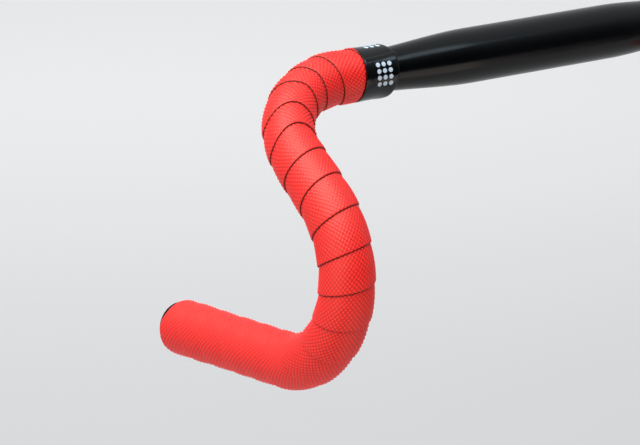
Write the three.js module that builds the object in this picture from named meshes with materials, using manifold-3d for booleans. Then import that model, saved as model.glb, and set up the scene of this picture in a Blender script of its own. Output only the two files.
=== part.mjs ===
// Taped drop handlebar for a road bicycle, in millimetres.
// The origin is the middle of the stem clamp zone: +X to the rider's right, +Y forward, +Z up.
// The bar sits as ridden, with its ramps dipping forward and its drops close to level.
import * as THREE from 'three';
import { mergeVertices } from 'three/addons/utils/BufferGeometryUtils.js';
import Module from 'manifold-3d';

const wasm = await Module();
wasm.setup();

const { degToRad, lerp, smoothstep } = THREE.MathUtils;
const TURN = 2 * Math.PI;

// Tube
const clampDiameter = 31.8;
const gripDiameter = 23.8;
const wallThickness = 2;
const clampZoneHalfLength = 47.5;
const taperLength = 70;

// Centreline of one half, from the clamp outwards
const topLength = 134.5;
const shoulderRadius = 50;
const shoulderTurn = degToRad(92.5);
const rampDip = degToRad(31);
const rampLength = 28;
const flareAngle = degToRad(10);
const hookRadius = 60;
const hookTurn = degToRad(29);
const dropRadius = 51;
const dropTurn = degToRad(113);
const dropLength = 97;

// Bar tape: each turn lies over the one below it, so its proud edge faces the bar's end
const tapeTop = 104.5;
const tapeThickness = 2.6;
const lapRise = 0.9;
const lapRampShare = 0.45;
const lapRampRise = 0.75;
const lapEdgeShare = 0.03;
const firstSeam = 143.8;
const topPitch = 20.3;
const shoulderPitch = 13.9;
const shoulderWrapLength = 52;
const rampPitch = 19.2;
const rampWrapLength = 72;
const bendPitch = 17.7;
const bendWrapLength = 72;
const dropPitch = 20;
const pitchChangeLength = 22;
const cutEndThickness = 1.5;
const squeezedThickness = 2.2;
const dropBuildUp = 0.3;
const tuckBuildUp = 0.35;
const buildUpLength = 20;
const tuckThickness = 1.6;

// Finishing tape round the cut end of the bar tape
const finishingWidth = 20;
const finishingThickness = 0.8;
const finishingOnBar = 1.5;

// End plug
const flangeRadius = 14;
const flangeThickness = 2;
const flangeEdgeRadius = 1;
const flangeEdgeSteps = 2;
const stemLength = 22;
const stemCoreRadius = 8.4;
const stemRibs = 3;
const ribHeight = 1.2;

// Running clearance between pieces that touch, and how finely round forms are divided
const clearance = 0.3;
const sides = 20;
const bendStep = degToRad(10);
const taperSteps = 6;
const latheSides = 24;

const finishingStart = tapeTop - finishingOnBar;
const finishingEnd = finishingStart + finishingWidth;
const clampRadius = clampDiameter / 2;
const gripRadius = gripDiameter / 2;
const boreRadius = gripRadius - wallThickness;

// A centreline joined from straights and arcs. Each piece carries the frame on without twist, so an
// angle round the bar means the same direction before and after a bend.
class Centreline {
  constructor(side) {
    this.pieces = [];
    this.length = 0;
    this.end = { point: new THREE.Vector3(), tangent: new THREE.Vector3(1, 0, 0), side };
  }

  straight(length) {
    const start = this.end;
    this.add(length, 1, (distance) => ({
      point: start.point.clone().addScaledVector(start.tangent, distance),
      tangent: start.tangent.clone(),
      side: start.side.clone(),
    }));
    return this;
  }

  bend(radius, angle, axis) {
    const start = this.end;
    const toCentre = axis.clone().cross(start.tangent).multiplyScalar(radius);
    const centre = start.point.clone().add(toCentre);
    this.add(radius * angle, Math.ceil(angle / bendStep), (distance) => {
      const turned = distance / radius;
      return {
        point: centre.clone().sub(toCentre.clone().applyAxisAngle(axis, turned)),
        tangent: start.tangent.clone().applyAxisAngle(axis, turned),
        side: start.side.clone().applyAxisAngle(axis, turned),
      };
    });
    return this;
  }

  add(length, steps, locate) {
    this.pieces.push({ start: this.length, length, steps, locate });
    this.length += length;
    this.end = locate(length);
  }

  // The point, tangent and side direction at a distance along the bar; past an end it runs on straight
  at(distance) {
    const piece = this.pieces.findLast(({ start }) => start <= distance) ?? this.pieces[0];
    const within = Math.min(distance - piece.start, piece.length);
    const frame = piece.locate(within);
    frame.point.addScaledVector(frame.tangent, distance - piece.start - within);
    return frame;
  }

  // Distances that divide every bend evenly
  divisions() {
    return this.pieces.flatMap(({ start, length, steps }) =>
      Array.from({ length: steps }, (_, step) => start + (length * step) / steps));
  }
}

// One half of the bar: top, shoulder, ramp, hook, drop bend and drop
function halfCentreline() {
  const rampNormal = new THREE.Vector3(0, Math.sin(rampDip), Math.cos(rampDip));
  const line = new Centreline(rampNormal.clone());
  line.straight(topLength).bend(shoulderRadius, shoulderTurn, rampNormal).straight(rampLength);
  const ahead = line.end.tangent;
  const inward = new THREE.Vector3(-1, 0, 0);
  const hookAxis = inward.addScaledVector(ahead, -inward.dot(ahead)).normalize();
  hookAxis.applyAxisAngle(ahead, -flareAngle);
  return line
    .bend(hookRadius, hookTurn, hookAxis)
    .bend(dropRadius, dropTurn, hookAxis)
    .straight(dropLength);
}

const line = halfCentreline();
const tubeEnd = line.length;

function tubeRadius(distance) {
  const share = smoothstep(distance, clampZoneHalfLength, clampZoneHalfLength + taperLength);
  return lerp(clampRadius, gripRadius, share);
}

// Where the bar's form changes between two limits, through its taper and bends, with both limits
function stations(from, to) {
  const taper = Array.from({ length: taperSteps + 1 }, (_, step) =>
    clampZoneHalfLength + (taperLength * step) / taperSteps);
  const inside = [...taper, ...line.divisions()].filter((station) => station > from && station < to);
  return [from, ...inside.sort((a, b) => a - b), to];
}

function pointAround(frame, radius, angle) {
  const across = frame.tangent.clone().cross(frame.side);
  return frame.point.clone()
    .addScaledVector(frame.side, radius * Math.cos(angle))
    .addScaledVector(across, radius * Math.sin(angle));
}

function ring(distance, radius) {
  const frame = line.at(distance);
  return Array.from({ length: sides }, (_, step) => pointAround(frame, radius, (TURN * step) / sides));
}

function mirrorX(point) {
  return new THREE.Vector3(-point.x, point.y, point.z);
}

function geometryFrom(points, triangles) {
  const geometry = new THREE.BufferGeometry();
  const coordinates = points.flatMap((point) => point.toArray());
  geometry.setAttribute('position', new THREE.Float32BufferAttribute(coordinates, 3));
  geometry.setIndex(triangles.flat());
  return geometry;
}

// Triangles of the strip between two neighbouring rings, facing outwards when they run along +tangent
function strip(first, second, count) {
  return Array.from({ length: count }, (_, step) => {
    const next = (step + 1) % count;
    return [
      [first + step, first + next, second + step],
      [first + next, second + next, second + step],
    ];
  }).flat();
}

// A solid rod through a list of rings, closed by a fan at each end
function rod(rings) {
  const points = rings.flat();
  const triangles = rings.slice(1).flatMap((_, index) => strip(index * sides, (index + 1) * sides, sides));
  const last = points.length - sides;
  const middle = (loop) => loop.reduce((sum, p) => sum.add(p), new THREE.Vector3()).divideScalar(sides);
  points.push(middle(rings[0]), middle(rings.at(-1)));
  for (let step = 0; step < sides; step += 1) {
    const next = (step + 1) % sides;
    triangles.push([step, points.length - 2, next]);
    triangles.push([last + step, last + next, points.length - 1]);
  }
  return geometryFrom(points, triangles);
}

// The tube: outer rings from the left end to the right, then bore rings back again
function handlebarGeometry() {
  const outerStations = stations(clampZoneHalfLength, tubeEnd);
  const lastStation = outerStations.length - 1;
  const boreStations = outerStations.filter((_, index) => index % 2 === 0 || index === lastStation);
  const wholeBar = (places, radiusAt) => {
    const right = places.map((place) => ring(place, radiusAt(place)));
    return [...right.map((loop) => loop.map(mirrorX)).reverse(), ...right];
  };
  const outer = wholeBar(outerStations, tubeRadius);
  const bore = wholeBar(boreStations, (place) => tubeRadius(place) - wallThickness);
  const rings = [...outer, ...bore.reverse()];
  const triangles = rings.flatMap((_, index) =>
    strip(index * sides, ((index + 1) % rings.length) * sides, sides));
  return geometryFrom(rings.flat(), triangles);
}

function solidFrom(geometry) {
  const bare = geometry.clone();
  bare.deleteAttribute('normal');
  bare.deleteAttribute('uv');
  const merged = mergeVertices(bare, 1e-4);
  return new wasm.Manifold(new wasm.Mesh({
    numProp: 3,
    vertProperties: new Float32Array(merged.attributes.position.array),
    triVerts: new Uint32Array(merged.index.array),
  }));
}

function geometryOf(solid) {
  const { vertProperties, triVerts } = solid.getMesh();
  const geometry = new THREE.BufferGeometry();
  geometry.setAttribute('position', new THREE.BufferAttribute(vertProperties, 3));
  geometry.setIndex(new THREE.BufferAttribute(triVerts, 1));
  return geometry;
}

// Wound tape: its turns are open on the top, close on the shoulder and more open again further on
function pitchAt(distance) {
  if (distance < firstSeam) {
    return topPitch;
  }
  const rampStart = topLength + shoulderWrapLength;
  const bendStart = rampStart + rampWrapLength;
  const changes = [[rampStart, rampPitch], [bendStart, bendPitch], [bendStart + bendWrapLength, dropPitch]];
  return changes.reduce((pitch, [start, next]) =>
    lerp(pitch, next, smoothstep(distance, start, start + pitchChangeLength)), shoulderPitch);
}

// Height of a seam's foot over the tube, built up along the drop and again where the tape is tucked in
function coverAt(distance) {
  const dropStart = tubeEnd - dropLength;
  const dropShare = smoothstep(distance, dropStart - 2 * buildUpLength, dropStart - buildUpLength);
  const tuckShare = smoothstep(distance, tubeEnd - 2 * buildUpLength, tubeEnd - buildUpLength);
  return tapeThickness + dropBuildUp * dropShare + tuckBuildUp * tuckShare;
}

// Distances along the bar of the seam, one for each step of the winding angle
function seamDistances(from, to) {
  const step = 1 / sides;
  const seams = [];
  for (let back = firstSeam - pitchAt(firstSeam) * step; back > from; back -= pitchAt(back) * step) {
    seams.unshift(back);
  }
  const phase = seams.length;
  for (let ahead = firstSeam; ahead < to; ahead += pitchAt(ahead) * step) {
    seams.push(ahead);
  }
  return { seams, phase };
}

// The outer face of the wound tape as one solid rod. Each column of the lattice is a step round the bar,
// and its rows run from a seam's foot over the rising lap to the proud edge at the next seam.
function woundRod() {
  const { seams, phase } = seamDistances(tapeTop - 2 * topPitch, tubeEnd + 2 * dropPitch);
  const rows = [
    { along: 0, rise: 0 },
    { along: lapRampShare, rise: lapRampRise },
    { along: 1 - lapEdgeShare, rise: 1 },
  ];
  const columns = seams.length - sides;
  const points = [];
  const put = (column, { along, rise }) => {
    const distance = lerp(seams[column], seams[column + sides] ?? seams[column] + dropPitch, along);
    const radius = tubeRadius(distance) + coverAt(distance) + lapRise * rise;
    points.push(pointAround(line.at(distance), radius, (TURN * (column - phase)) / sides));
  };
  for (let column = 0; column < columns; column += 1) {
    rows.forEach((row) => put(column, row));
  }
  const tail = points.length;
  for (let column = columns; column < seams.length; column += 1) {
    put(column, rows[0]);
  }
  const at = (column, row) => {
    if (row === rows.length) {
      return at(column + sides, 0);
    }
    return column < columns ? column * rows.length + row : tail + column - columns;
  };
  const triangles = [];
  for (let column = 0; column < columns - 1; column += 1) {
    for (let row = 0; row < rows.length; row += 1) {
      triangles.push([at(column, row), at(column + 1, row), at(column + 1, row + 1)]);
      triangles.push([at(column, row), at(column + 1, row + 1), at(column, row + 1)]);
    }
  }
  const closeWith = (loop, distance) => {
    points.push(line.at(distance).point);
    const middle = points.length - 1;
    loop.forEach((index, step) => triangles.push([loop[(step + 1) % loop.length], index, middle]));
  };
  const startLoop = [
    ...Array.from({ length: sides + 1 }, (_, column) => at(column, 0)),
    ...rows.slice(1).map((_, index) => at(0, rows.length - 1 - index)),
  ];
  const last = columns - 1;
  const endLoop = [
    ...Array.from({ length: sides + 1 }, (_, step) => at(last + sides - step, 0)),
    ...rows.slice(1).map((_, index) => at(last, index + 1)),
  ];
  closeWith(startLoop, seams[0] - topPitch);
  closeWith(endLoop, seams.at(-1) + dropPitch);
  return geometryFrom(points, triangles);
}

// Under the finishing tape the bar tape is squeezed down towards its cut end
function squeezedRadius(distance) {
  const share = (distance - tapeTop) / (finishingEnd - tapeTop);
  return tubeRadius(distance) + lerp(cutEndThickness, squeezedThickness, share);
}

// Bar tape: the wound rod, cut square at both ends, squeezed under the finishing tape and hollowed for
// the tube. Its lower end is tucked over the tube's end face, round the hole that the plug goes through.
function barTapeSolid() {
  const tuckEnd = tubeEnd + tuckThickness;
  const holeStations = stations(tapeTop - clearance, tubeEnd + clearance);
  const freeRadius = gripRadius + 3 * tapeThickness;
  const envelope = rod([
    ...[tapeTop, finishingEnd + clearance].map((station) => ring(station, squeezedRadius(station))),
    ...stations(finishingEnd + clearance, tuckEnd).map((station) => ring(station, freeRadius)),
  ]);
  const tubeHole = rod(holeStations.map((station) => ring(station, tubeRadius(station) + clearance)));
  const plugHole = rod([tubeEnd - tuckThickness, tuckEnd + tuckThickness]
    .map((station) => ring(station, boreRadius)));
  return solidFrom(woundRod())
    .intersect(solidFrom(envelope))
    .subtract(solidFrom(tubeHole))
    .subtract(solidFrom(plugHole));
}

function mirrored(geometry) {
  const copy = geometry.clone().scale(-1, 1, 1);
  const { array } = copy.index;
  for (let corner = 0; corner < array.length; corner += 3) {
    [array[corner], array[corner + 1]] = [array[corner + 1], array[corner]];
  }
  return copy;
}

// A turned form from a closed profile of [radius, place along the axis]
function latheFrom(profile) {
  return new THREE.LatheGeometry(profile.map((pair) => new THREE.Vector2(...pair)), latheSides);
}

// Finishing tape: a sleeve round the top, over the squeezed bar tape and down on to the tube
function finishingTapeGeometry() {
  const lip = tapeTop - clearance;
  const innerFace = [
    [finishingStart, tubeRadius(finishingStart) + clearance],
    [lip, tubeRadius(lip) + clearance],
    ...[lip, (lip + finishingEnd) / 2, finishingEnd]
      .map((station) => [station, squeezedRadius(station) + clearance]),
  ];
  const outerFace = innerFace.filter((_, index) => index !== 1)
    .map(([station, radius]) => [station, radius + finishingThickness]);
  const profile = [...innerFace, ...outerFace.reverse(), innerFace[0]];
  return latheFrom(profile.map(([station, radius]) => [radius, -station]));
}

// End plug: a domed flange over the tucked tape and a ribbed stem in the bore
function endPlugGeometry() {
  const ribRadius = boreRadius - clearance;
  const ribPitch = stemLength / (stemRibs + 1);
  const ribs = Array.from({ length: stemRibs }, (_, rib) => {
    const foot = -stemLength + ribPitch * (rib + 0.5);
    return [[stemCoreRadius, foot], [ribRadius, foot + ribHeight], [stemCoreRadius, foot + 2 * ribHeight]];
  }).flat();
  const seat = tuckThickness + clearance;
  const face = seat + flangeThickness;
  const edge = Array.from({ length: flangeEdgeSteps + 1 }, (_, step) => {
    const angle = (step / flangeEdgeSteps) * (Math.PI / 2);
    const round = flangeEdgeRadius;
    return [flangeRadius - round + round * Math.cos(angle), face - round + round * Math.sin(angle)];
  });
  const profile = [[0, -stemLength], [stemCoreRadius - ribHeight, -stemLength], ...ribs,
    [stemCoreRadius, seat], [flangeRadius, seat], ...edge, [0, face]];
  return latheFrom(profile);
}

const barFinish = new THREE.MeshStandardMaterial({ color: 0x14181c, roughness: 0.32, metalness: 0.3 });
const tapeFinish = new THREE.MeshStandardMaterial({ color: 0xec4038, roughness: 0.75, metalness: 0 });
const finishingFinish = new THREE.MeshStandardMaterial({ color: 0x121417, roughness: 0.25, metalness: 0 });
const plugFinish = new THREE.MeshStandardMaterial({ color: 0x101114, roughness: 0.5, metalness: 0 });

function named(name, geometry, material) {
  const mesh = new THREE.Mesh(geometry, material);
  mesh.name = name;
  return mesh;
}

const group = new THREE.Group();
group.add(named('handlebar', handlebarGeometry(), barFinish));

const rightTape = geometryOf(barTapeSolid());
group.add(named('right_bar_tape', rightTape, tapeFinish));
group.add(named('left_bar_tape', mirrored(rightTape), tapeFinish));

const latheAxis = new THREE.Vector3(0, 1, 0);
const tubeEndFrame = line.at(tubeEnd);
for (const [side, toSide] of [['right', (point) => point.clone()], ['left', mirrorX]]) {
  const finishingTape = named(`${side}_finishing_tape`, finishingTapeGeometry(), finishingFinish);
  finishingTape.quaternion.setFromUnitVectors(latheAxis, toSide(new THREE.Vector3(-1, 0, 0)));
  const endPlug = named(`${side}_end_plug`, endPlugGeometry(), plugFinish);
  endPlug.position.copy(toSide(tubeEndFrame.point));
  endPlug.quaternion.setFromUnitVectors(latheAxis, toSide(tubeEndFrame.tangent));
  group.add(finishingTape, endPlug);
}

export default group;
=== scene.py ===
"""Taped drop handlebar, dressed for rendering.

One bent aluminium tube with a thick clamp zone. Each half is wound with embossed foam tape, held at the
top by a glossy finishing tape and at the bar's end by a ribbed plug. Lengths are in metres, with +X to
the rider's right, +Y forward and +Z up, and the origin is the middle of the clamp zone.
"""

import logging
import math
from dataclasses import dataclass, field
from enum import Enum, IntEnum
from typing import Any, Callable, Optional, Union

import bpy
import numpy as np
from mathutils import Matrix, Vector


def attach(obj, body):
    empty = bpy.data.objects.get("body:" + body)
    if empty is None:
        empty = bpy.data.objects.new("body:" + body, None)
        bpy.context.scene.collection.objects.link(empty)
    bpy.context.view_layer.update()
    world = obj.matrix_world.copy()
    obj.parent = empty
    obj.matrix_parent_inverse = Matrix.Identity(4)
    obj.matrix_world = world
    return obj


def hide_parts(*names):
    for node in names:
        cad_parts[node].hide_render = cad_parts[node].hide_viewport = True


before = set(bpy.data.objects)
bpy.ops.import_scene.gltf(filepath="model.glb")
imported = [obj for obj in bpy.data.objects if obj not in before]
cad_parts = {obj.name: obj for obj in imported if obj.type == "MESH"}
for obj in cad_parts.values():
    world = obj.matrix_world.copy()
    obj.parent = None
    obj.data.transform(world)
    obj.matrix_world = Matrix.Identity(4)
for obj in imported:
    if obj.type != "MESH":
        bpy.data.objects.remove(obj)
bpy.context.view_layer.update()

LOG = logging.getLogger("handlebar")
TURN = 2 * math.pi
MM = 0.001

Number = Union[float, "Value"]
Colour = tuple[float, float, float]


class Side(Enum):
    """The half of the bar that a piece is on, with the sign of its X."""

    RIGHT = 1
    LEFT = -1

    @property
    def word(self) -> str:
        """The word that starts this half's piece names."""
        return self.name.lower()


def operator_for(operation: str, reflected: bool = False) -> Callable[["Value", Any], "Value"]:
    """Makes the method behind one of a value's operators.

    Args:
        operation: the Math or Vector Math operation.
        reflected: whether the value stands to the operator's right.

    Returns:
        The method.
    """
    def method(value: "Value", other: Any) -> "Value":
        """Combines the value with another term."""
        terms = (other, value) if reflected else (value, other)
        return value.combined(operation, *terms)
    return method


class Value:
    """A socket's value, with Python's operators on numbers and on vectors."""

    def __init__(self, graph: "Graph", socket: bpy.types.NodeSocket) -> None:
        """Wraps a socket of the graph."""
        self.graph = graph
        self.socket = socket

    @property
    def is_vector(self) -> bool:
        """Whether the socket carries a vector."""
        return self.socket.type == "VECTOR"

    def combined(self, operation: str, first: Any, second: Any) -> "Value":
        """Combines two terms, on vectors if both are vectors.

        Args:
            operation: the Math or Vector Math operation.
            first: the left term.
            second: the right term.

        Returns:
            The result.
        """
        vectors = [getattr(term, "is_vector", False) for term in (first, second)]
        if operation == "MULTIPLY" and vectors == [True, False]:
            return self.graph.scale(first, second)
        if operation == "MULTIPLY" and vectors == [False, True]:
            return self.graph.scale(second, first)
        if all(vectors):
            return self.graph.vector(operation, first, second)
        return self.graph.math(operation, first, second)

    __add__ = operator_for("ADD")
    __radd__ = operator_for("ADD", True)
    __sub__ = operator_for("SUBTRACT")
    __rsub__ = operator_for("SUBTRACT", True)
    __mul__ = operator_for("MULTIPLY")
    __rmul__ = operator_for("MULTIPLY", True)
    __truediv__ = operator_for("DIVIDE")
    __rtruediv__ = operator_for("DIVIDE", True)
    __pow__ = operator_for("POWER")
    __rpow__ = operator_for("POWER", True)
    __gt__ = operator_for("GREATER_THAN")
    __lt__ = operator_for("LESS_THAN")


class Graph:
    """Adds nodes and maths to a node tree."""

    def __init__(self, tree: bpy.types.NodeTree) -> None:
        """Starts on a tree."""
        self.tree = tree

    def feed(self, socket: bpy.types.NodeSocket, value: Any) -> None:
        """Links a value to a socket, or sets it there.

        Args:
            socket: the input to feed.
            value: a value or socket to link, or a constant.
        """
        if isinstance(value, Value):
            self.tree.links.new(value.socket, socket)
        elif isinstance(value, bpy.types.NodeSocket):
            self.tree.links.new(value, socket)
        else:
            socket.default_value = value

    def node(self, kind: str, settings: Optional[dict] = None,
             sockets: Optional[dict] = None) -> bpy.types.Node:
        """Adds any node.

        Args:
            kind: the node's type.
            settings: attributes of the node, set first.
            sockets: values or links by the name or place of the input.

        Returns:
            The node.
        """
        made = self.tree.nodes.new(kind)
        for name, value in (settings or {}).items():
            setattr(made, name, value)
        for key, value in (sockets or {}).items():
            self.feed(made.inputs[key], value)
        return made

    def value(self, kind: str, output: Union[int, str], settings: Optional[dict] = None,
              sockets: Optional[dict] = None) -> Value:
        """Adds any node and wraps one output.

        Args:
            kind: the node's type.
            output: the name or place of the output.
            settings: attributes of the node, set first.
            sockets: values or links by the name or place of the input.

        Returns:
            The output as a value.
        """
        return Value(self, self.node(kind, settings, sockets).outputs[output])

    def math(self, operation: str, *terms: Number) -> Value:
        """Adds a Math node."""
        return self.value("ShaderNodeMath", 0, {"operation": operation}, dict(enumerate(terms)))

    def vector(self, operation: str, *terms: Any) -> Value:
        """Adds a Vector Math node."""
        output = "Value" if operation in {"DOT_PRODUCT", "LENGTH"} else "Vector"
        return self.value("ShaderNodeVectorMath", output, {"operation": operation}, dict(enumerate(terms)))

    def scale(self, vector: Value, factor: Number) -> Value:
        """Scales a vector by a number."""
        return self.value("ShaderNodeVectorMath", 0, {"operation": "SCALE"}, {0: vector, "Scale": factor})

    def least(self, first: Number, second: Number) -> Value:
        """The smaller of two numbers."""
        return self.math("MINIMUM", first, second)

    def most(self, first: Number, second: Number) -> Value:
        """The larger of two numbers."""
        return self.math("MAXIMUM", first, second)

    def choose(self, which: Value, false: Number, true: Number) -> Value:
        """The second number where which is one, and the first where it is nought."""
        return self.value("ShaderNodeMix", 0, {"data_type": "FLOAT"}, {0: which, 2: false, 3: true})

    def smooth(self, value: Value, low: Number, high: Number) -> Value:
        """Rises smoothly from 0 at low to 1 at high."""
        sockets = {"Value": value, "From Min": low, "From Max": high}
        return self.value("ShaderNodeMapRange", 0, {"interpolation_type": "SMOOTHSTEP"}, sockets)

    def cosine(self, angle: Value, phase: float = 0.0) -> Value:
        """Cosine of an angle less a phase."""
        return self.math("COSINE", angle - phase)

    def part(self, vector: Value, axis: int) -> Value:
        """One component of a vector."""
        return self.value("ShaderNodeSeparateXYZ", axis, None, {0: vector})

    def join(self, x: Number, y: Number, z: Number) -> Value:
        """A vector from three numbers."""
        return self.value("ShaderNodeCombineXYZ", 0, None, {0: x, 1: y, 2: z})


class ShaderGraph(Graph):
    """Adds shader nodes to one material."""

    def __init__(self, name: str) -> None:
        """Makes an empty material with its output.

        Args:
            name: the material's name.
        """
        self.material = bpy.data.materials.new(name)
        self.material.use_nodes = True
        super().__init__(self.material.node_tree)
        self.tree.nodes.clear()
        self.output = self.node("ShaderNodeOutputMaterial")

    def attribute(self, name: str) -> Value:
        """Reads a number that the piece keeps at each vertex."""
        return self.value("ShaderNodeAttribute", "Fac", {"attribute_name": name})

    def place(self) -> Value:
        """Object coordinates."""
        return self.value("ShaderNodeTexCoord", "Object")

    def noise(self, place: Value, scale: float, detail: float = 2.0) -> Value:
        """Noise between 0 and 1 at a scale for each metre."""
        sockets = {"Vector": place, "Scale": scale, "Detail": detail}
        return self.value("ShaderNodeTexNoise", "Fac", None, sockets)

    def blend(self, factor: Number, first: Any, second: Any) -> Value:
        """Mixes two colours, each a value or three numbers.

        Args:
            factor: the share of the second colour.
            first: the first colour.
            second: the second colour.

        Returns:
            The mixed colour.
        """
        colours = [(*colour, 1.0) if isinstance(colour, tuple) else colour for colour in (first, second)]
        sockets = {0: factor, 6: colours[0], 7: colours[1]}
        return self.value("ShaderNodeMix", 2, {"data_type": "RGBA"}, sockets)

    def bump(self, height: Value, distance: float, strength: float = 1.0) -> Value:
        """A bumped normal for a height in distances."""
        sockets = {"Height": height, "Distance": distance, "Strength": strength}
        return self.value("ShaderNodeBump", 0, None, sockets)

    def finish(self, **sockets: Any) -> bpy.types.Material:
        """Adds the surface shader and returns the material.

        Args:
            sockets: inputs of the surface shader, with underscores for spaces.

        Returns:
            The material.
        """
        named = {name.replace("_", " "): value for name, value in sockets.items()}
        shader = self.node("ShaderNodeBsdfPrincipled", None, named)
        self.feed(self.output.inputs["Surface"], shader.outputs[0])
        return self.material


def new_piece(name: str, points: np.ndarray, faces: list, material: bpy.types.Material) -> bpy.types.Object:
    """Makes a smooth mesh object at the origin.

    Args:
        name: the piece's name.
        points: its vertices, one row each.
        faces: its faces as tuples of vertex numbers.
        material: its finish.

    Returns:
        The object, linked to the scene.
    """
    mesh = bpy.data.meshes.new(name)
    mesh.from_pydata(points.tolist(), [], faces)
    mesh.materials.append(material)
    mesh.shade_smooth()
    mesh.update()
    piece = bpy.data.objects.new(name, mesh)
    bpy.context.scene.collection.objects.link(piece)
    return piece


def keep_numbers(piece: bpy.types.Object, name: str, numbers: np.ndarray) -> None:
    """Stores a number or a vector for each vertex.

    Args:
        piece: the object whose mesh takes the attribute.
        name: the attribute's name.
        numbers: one row or one number for each vertex.
    """
    is_vector = numbers.ndim == 2
    kind = "FLOAT_VECTOR" if is_vector else "FLOAT"
    made = piece.data.attributes.new(name, kind, "POINT")
    made.data.foreach_set("vector" if is_vector else "value", numbers.astype(np.float32).ravel())


def closed_grid(rings: int, sides: int, outward: bool, loop: bool = False) -> list:
    """Faces of rings of vertices, one ring after another.

    Args:
        rings: how many rings there are.
        sides: how many vertices a ring has.
        outward: whether the faces look outwards when the rings run along the tangent.
        loop: whether the last ring joins the first.

    Returns:
        The faces.
    """
    faces = []
    for ring in range(rings if loop else rings - 1):
        first = ring * sides
        second = ((ring + 1) % rings) * sides
        for step in range(sides):
            following = (step + 1) % sides
            face = (first + step, first + following, second + following, second + step)
            faces.append(face if outward else face[::-1])
    return faces


def turned(vectors: np.ndarray, axis: np.ndarray, angles: np.ndarray) -> np.ndarray:
    """Turns a vector about an axis by each of several angles.

    Args:
        vectors: the vector to turn.
        axis: the unit axis.
        angles: the angles.

    Returns:
        One turned vector for each angle.
    """
    cosines = np.cos(angles)[:, None]
    sines = np.sin(angles)[:, None]
    along = axis * np.dot(axis, vectors)
    return vectors * cosines + np.cross(axis, vectors) * sines + along * (1 - cosines)


def smooth_share(values: np.ndarray, low: float, high: float) -> np.ndarray:
    """Rises smoothly from 0 at low to 1 at high."""
    share = np.clip((values - low) / (high - low), 0, 1)
    return share**2 * (3 - 2 * share)


def fading(distances: np.ndarray, reach: float) -> np.ndarray:
    """Falls from 1 at no distance along a bell curve, to a third at its reach."""
    return np.exp(-(distances / reach)**2)


@dataclass
class Station:
    """Frames of the centreline at several distances, one row for each."""

    points: np.ndarray
    tangents: np.ndarray
    sides: np.ndarray
    bends: np.ndarray

    @property
    def across(self) -> np.ndarray:
        """The direction a quarter turn on from the side direction."""
        return np.cross(self.tangents, self.sides)

    def around(self, radii: np.ndarray, angles: np.ndarray) -> np.ndarray:
        """Points at a radius and an angle round each frame.

        Args:
            radii: a radius for each frame and angle.
            angles: angles round the bar.

        Returns:
            Points with a row for each frame and a column for each angle.
        """
        outwards = (self.sides[:, None] * np.cos(angles)[None, :, None]
                    + self.across[:, None] * np.sin(angles)[None, :, None])
        return self.points[:, None] + outwards * radii[..., None]


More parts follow.
